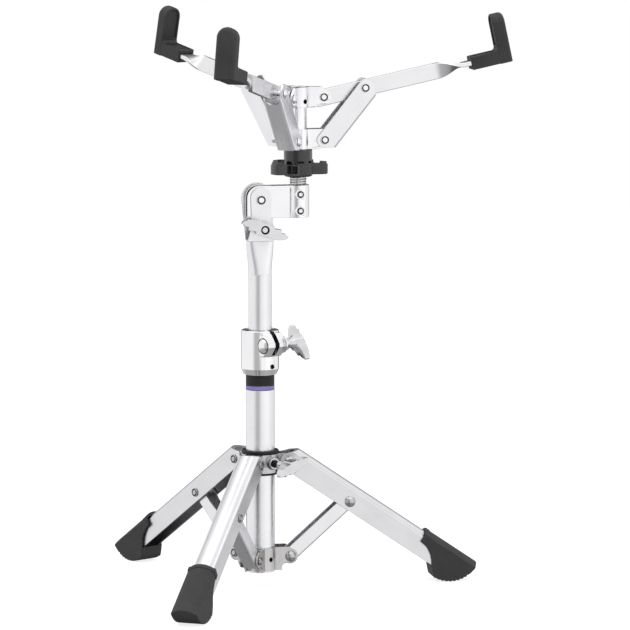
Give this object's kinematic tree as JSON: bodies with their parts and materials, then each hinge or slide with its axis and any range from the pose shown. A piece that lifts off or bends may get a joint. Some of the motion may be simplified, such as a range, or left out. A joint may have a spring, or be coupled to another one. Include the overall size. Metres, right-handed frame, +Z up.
{
  "type": "snare drum stand",
  "caption": "Folding drum stand: a tripod with rubber feet, a tube set by a wing-nut clamp, a hinged tilter and a basket of twisted arms with rubber claws that a lobed nut closes on a drum.",
  "frame": {"origin": "on the base tube's axis, at floor level under the feet", "axes": "+Z up along the tubes, +X along leg 1, the tilter and basket arm 1"},
  "size_m": [0.331, 0.3446, 0.504],
  "materials": {
    "anodised": "satin anodised",
    "chrome": "bright plated",
    "rubber": "matt moulded",
    "gloss_black": "gloss moulded",
    "nylon": "satin moulded",
    "lavender": "satin"
  },
  "bodies": {
    "base": {"base_tube": "anodised", "lower_spider": "chrome", "lower_spider_pin": "chrome", "strut_pivot_rivet_1": "chrome", "strut_pivot_rivet_2": "chrome", "strut_pivot_rivet_3": "chrome", "height_collar": "chrome", "collar_pin": "chrome", "collar_bush": "nylon", "accent_ring": "lavender", "height_bolt": "chrome"},
    "upper_spider": {"upper_spider": "chrome", "spider_bush": "nylon"},
    "spider_wing": {"spider_wing_bolt": "chrome"},
    "height_wing": {"height_wing_nut": "chrome"},
    "mast": {"upper_tube": "anodised", "tilter_nut": "chrome", "tilter_rivet": "chrome"},
    "tilter_wing": {"tilter_wing_bolt": "chrome"},
    "tilter": {"tilter_bracket": "chrome", "threaded_rod": "chrome", "rod_bolt_upper": "chrome", "rod_bolt_lower": "chrome", "arm_bracket": "chrome", "hub_pin": "chrome", "arm_pivot_rivet_1": "chrome", "arm_pivot_rivet_2": "chrome", "arm_pivot_rivet_3": "chrome"},
    "slide_collar": {"slide_collar": "chrome"},
    "basket_nut": {"basket_nut": "gloss_black"},
    "strut_1": {"strut_1": "anodised"},
    "leg_1": {"leg_1": "anodised", "foot_1": "rubber", "leg_pivot_rivet_1": "chrome", "leg_strut_rivet_1": "chrome"},
    "arm_1": {"arm_1": "anodised", "grip_1": "rubber"},
    "link_1": {"link_1": "anodised", "arm_link_rivet_1": "chrome", "link_collar_rivet_1": "chrome"},
    "strut_2": {"strut_2": "anodised"},
    "leg_2": {"leg_2": "anodised", "foot_2": "rubber", "leg_pivot_rivet_2": "chrome", "leg_strut_rivet_2": "chrome"},
    "arm_2": {"arm_2": "anodised", "grip_2": "rubber"},
    "link_2": {"link_2": "anodised", "arm_link_rivet_2": "chrome", "link_collar_rivet_2": "chrome"},
    "strut_3": {"strut_3": "anodised"},
    "leg_3": {"leg_3": "anodised", "foot_3": "rubber", "leg_pivot_rivet_3": "chrome", "leg_strut_rivet_3": "chrome"},
    "arm_3": {"arm_3": "anodised", "grip_3": "rubber"},
    "link_3": {"link_3": "anodised", "arm_link_rivet_3": "chrome", "link_collar_rivet_3": "chrome"}
  },
  "joints": [
    {"name": "strut_fold_1", "type": "hinge", "parent": "base", "child": "strut_1", "pos_m": [0.0256, 0, 0.0276], "axis": [0, -1, 0], "range_deg": [0, 40.02]},
    {"name": "leg_fold_1", "type": "hinge", "parent": "strut_1", "child": "leg_1", "pos_m": [0.07881, 0, 0.07478], "axis": [0, 1, 0], "range_deg": [0, 85.62]},
    {"name": "strut_fold_2", "type": "hinge", "parent": "base", "child": "strut_2", "pos_m": [-0.0128, 0.02217, 0.0276], "axis": [0.866, 0.5, 0], "range_deg": [0, 40.02]},
    {"name": "leg_fold_2", "type": "hinge", "parent": "strut_2", "child": "leg_2", "pos_m": [-0.03941, 0.06825, 0.07478], "axis": [-0.866, -0.5, 0], "range_deg": [0, 85.62]},
    {"name": "strut_fold_3", "type": "hinge", "parent": "base", "child": "strut_3", "pos_m": [-0.0128, -0.02217, 0.0276], "axis": [-0.866, 0.5, 0], "range_deg": [0, 40.02]},
    {"name": "leg_fold_3", "type": "hinge", "parent": "strut_3", "child": "leg_3", "pos_m": [-0.03941, -0.06825, 0.07478], "axis": [0.866, -0.5, 0], "range_deg": [0, 85.62]},
    {"name": "spider_slide", "type": "slide", "parent": "base", "child": "upper_spider", "axis": [0, 0, 1], "range_m": [0, 0.05075]},
    {"name": "spider_wing_turn", "type": "hinge", "parent": "upper_spider", "child": "spider_wing", "pos_m": [0.01325, -0.02295, 0.1119], "axis": [0.5, -0.866, 0], "continuous": true},
    {"name": "height_wing_turn", "type": "hinge", "parent": "base", "child": "height_wing", "pos_m": [0.0093, -0.01611, 0.217], "axis": [0.866, 0.5, 0], "continuous": true},
    {"name": "height_slide", "type": "slide", "parent": "base", "child": "mast", "axis": [0, 0, 1], "range_m": [-0.05, 0.095]},
    {"name": "tilter_wing_turn", "type": "hinge", "parent": "mast", "child": "tilter_wing", "pos_m": [0, 0, 0.3192], "axis": [0, -1, 0], "continuous": true},
    {"name": "tilt", "type": "hinge", "parent": "mast", "child": "tilter", "pos_m": [0, 0, 0.3436], "axis": [0, -1, 0], "range_deg": [-30, 60]},
    {"name": "arm_fold_1", "type": "hinge", "parent": "tilter", "child": "arm_1", "pos_m": [0.0562, 0, 0.4324], "axis": [0, -1, 0], "range_deg": [0, 63.8]},
    {"name": "link_fold_1", "type": "hinge", "parent": "arm_1", "child": "link_1", "pos_m": [0.09236, 0, 0.44022], "axis": [0, 1, 0], "range_deg": [0, 33.88]},
    {"name": "arm_fold_2", "type": "hinge", "parent": "tilter", "child": "arm_2", "pos_m": [0.0229, 0.01923, 0.4324], "axis": [0.866, 0.5, 0], "range_deg": [0, 63.8]},
    {"name": "link_fold_2", "type": "hinge", "parent": "arm_2", "child": "link_2", "pos_m": [0.00482, 0.05054, 0.44022], "axis": [-0.866, -0.5, 0], "range_deg": [0, 33.88]},
    {"name": "arm_fold_3", "type": "hinge", "parent": "tilter", "child": "arm_3", "pos_m": [0.0229, -0.01923, 0.4324], "axis": [-0.866, 0.5, 0], "range_deg": [0, 63.8]},
    {"name": "link_fold_3", "type": "hinge", "parent": "arm_3", "child": "link_3", "pos_m": [0.00482, -0.05054, 0.44022], "axis": [0.866, -0.5, 0], "range_deg": [0, 33.88]},
    {"name": "collar_slide", "type": "slide", "parent": "tilter", "child": "slide_collar", "axis": [0, 0, 1], "range_m": [0, 0.01608]},
    {"name": "nut_turn", "type": "hinge", "parent": "slide_collar", "child": "basket_nut", "pos_m": [0.034, 0, 0.375], "axis": [0, 0, 1], "continuous": true}
  ],
  "couplings": [
    {"joint": "leg_fold_1", "follows": "strut_fold_1", "ratio": 2.1394},
    {"joint": "strut_fold_2", "follows": "strut_fold_1", "ratio": 1},
    {"joint": "leg_fold_2", "follows": "strut_fold_1", "ratio": 2.1394},
    {"joint": "strut_fold_3", "follows": "strut_fold_1", "ratio": 1},
    {"joint": "leg_fold_3", "follows": "strut_fold_1", "ratio": 2.1394},
    {"joint": "spider_slide", "follows": "strut_fold_1", "m_per_rad": 0.07266},
    {"joint": "link_fold_1", "follows": "arm_fold_1", "ratio": 0.53101},
    {"joint": "arm_fold_2", "follows": "arm_fold_1", "ratio": 1},
    {"joint": "link_fold_2", "follows": "arm_fold_1", "ratio": 0.53101},
    {"joint": "arm_fold_3", "follows": "arm_fold_1", "ratio": 1},
    {"joint": "link_fold_3", "follows": "arm_fold_1", "ratio": 0.53101},
    {"joint": "collar_slide", "follows": "arm_fold_1", "m_per_rad": 0.014441}
  ]
}
